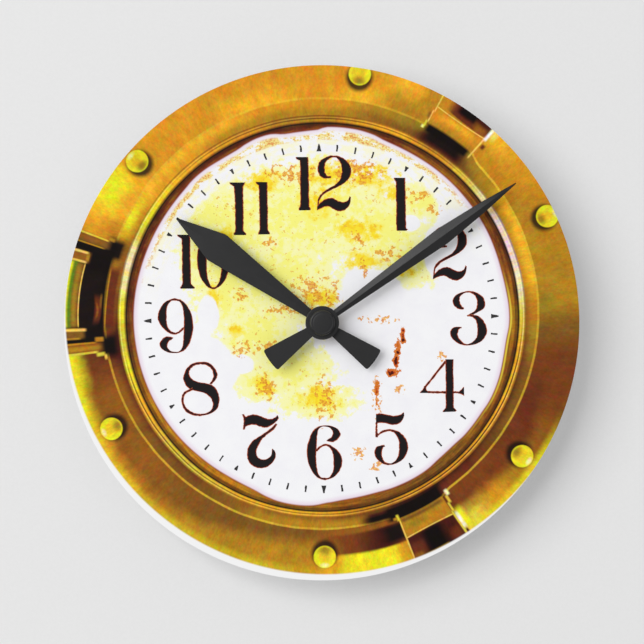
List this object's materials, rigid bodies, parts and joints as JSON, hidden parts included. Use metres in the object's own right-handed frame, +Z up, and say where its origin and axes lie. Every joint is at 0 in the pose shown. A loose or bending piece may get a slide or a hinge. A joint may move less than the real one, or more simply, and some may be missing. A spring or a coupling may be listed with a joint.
{
  "type": "wall clock",
  "caption": "Round frameless wall clock: a flat printed disc with a porthole face, two black hands, and a battery quartz movement behind it.",
  "frame": {"origin": "centre of the hanging hole, on the wall plane at the back of the movement", "axes": "+Y points from the clock into the wall, so the dial faces -Y; +X is to the right as seen from the front; +Z is up"},
  "size_m": [0.2032, 0.0315, 0.2032],
  "materials": {
    "acrylic": "polished white acrylic",
    "print": "satin full colour print",
    "rubber": "matt moulded",
    "brass": "turned",
    "case_black": "fine spark-eroded texture",
    "natural_plastic": "moulded acetal",
    "bobbin_plastic": "moulded",
    "steel": "rolled",
    "board": "phenolic board",
    "resin": "domed resin",
    "can": "drawn can",
    "copper": "enamelled wire",
    "nickel": "nickel plated",
    "battery_sleeve": "plain shrink sleeve",
    "magnet": "sintered",
    "knob_plastic": "moulded",
    "hand_black": "moulded satin black"
  },
  "bodies": {
    "clock": {"face_disc": "acrylic", "printed_film": "print", "rubber_washer": "rubber", "dial_washer": "brass", "hex_nut": "brass", "threaded_bush": "brass", "movement_case": "case_black", "front_cover": "case_black", "hanger_tab": "case_black", "train_bridge": "natural_plastic", "motion_pin": "steel", "circuit_board": "board", "clock_chip": "resin", "quartz_crystal": "can", "coil_bobbin": "bobbin_plastic", "coil_winding": "copper", "coil_core": "steel", "stator": "steel", "contact_positive": "nickel", "contact_negative": "nickel"},
    "minute": {"minute_arbor": "brass", "clutch_spring": "steel", "minute_hand": "hand_black", "centre_cap": "hand_black"},
    "hour": {"hour_wheel": "natural_plastic", "hour_hand": "hand_black"},
    "motion": {"motion_wheel": "natural_plastic"},
    "setting": {"setting_shaft": "natural_plastic", "setting_knob": "knob_plastic"},
    "seconds": {"seconds_wheel": "natural_plastic", "seconds_arbor": "steel"},
    "third": {"third_wheel": "natural_plastic"},
    "intermediate": {"intermediate_wheel": "natural_plastic"},
    "rotor": {"rotor_pinion": "natural_plastic", "rotor_magnet": "magnet"},
    "centre": {"centre_wheel": "natural_plastic"},
    "battery": {"battery_cell": "battery_sleeve", "battery_positive_cap": "nickel", "battery_negative_cap": "nickel"}
  },
  "joints": [
    {"name": "minute_turn", "type": "hinge", "parent": "clock", "child": "minute", "pos_m": [0, 0, -0.034], "axis": [0, 1, 0], "continuous": true},
    {"name": "hour_turn", "type": "hinge", "parent": "clock", "child": "hour", "pos_m": [0, 0, -0.034], "axis": [0, 1, 0], "continuous": true},
    {"name": "motion_turn", "type": "hinge", "parent": "clock", "child": "motion", "pos_m": [0.00886, 0, -0.03556], "axis": [0, 1, 0], "continuous": true},
    {"name": "setting_turn", "type": "hinge", "parent": "clock", "child": "setting", "pos_m": [0.01804, 0, -0.03128], "axis": [0, 1, 0], "continuous": true},
    {"name": "seconds_turn", "type": "hinge", "parent": "clock", "child": "seconds", "pos_m": [0, 0, -0.034], "axis": [0, 1, 0], "continuous": true},
    {"name": "third_turn", "type": "hinge", "parent": "clock", "child": "third", "pos_m": [0.00459, 0, -0.02605], "axis": [0, 1, 0], "continuous": true},
    {"name": "intermediate_turn", "type": "hinge", "parent": "clock", "child": "intermediate", "pos_m": [-0.00724, 0, -0.02793], "axis": [0, 1, 0], "continuous": true},
    {"name": "rotor_turn", "type": "hinge", "parent": "clock", "child": "rotor", "pos_m": [-0.014, 0, -0.02974], "axis": [0, 1, 0], "continuous": true},
    {"name": "centre_turn", "type": "hinge", "parent": "clock", "child": "centre", "pos_m": [0, 0, -0.034], "axis": [0, 1, 0], "continuous": true},
    {"name": "battery_slide", "type": "slide", "parent": "clock", "child": "battery", "axis": [0, 1, 0], "range_m": [0, 0.02]}
  ],
  "couplings": [
    {"joint": "hour_turn", "follows": "minute_turn", "ratio": 0.083333},
    {"joint": "motion_turn", "follows": "minute_turn", "ratio": -0.33333},
    {"joint": "setting_turn", "follows": "minute_turn", "ratio": 0.66667},
    {"joint": "third_turn", "follows": "seconds_turn", "ratio": -0.13333},
    {"joint": "centre_turn", "follows": "seconds_turn", "ratio": 0.016667},
    {"joint": "intermediate_turn", "follows": "seconds_turn", "ratio": -5},
    {"joint": "rotor_turn", "follows": "seconds_turn", "ratio": 30}
  ]
}
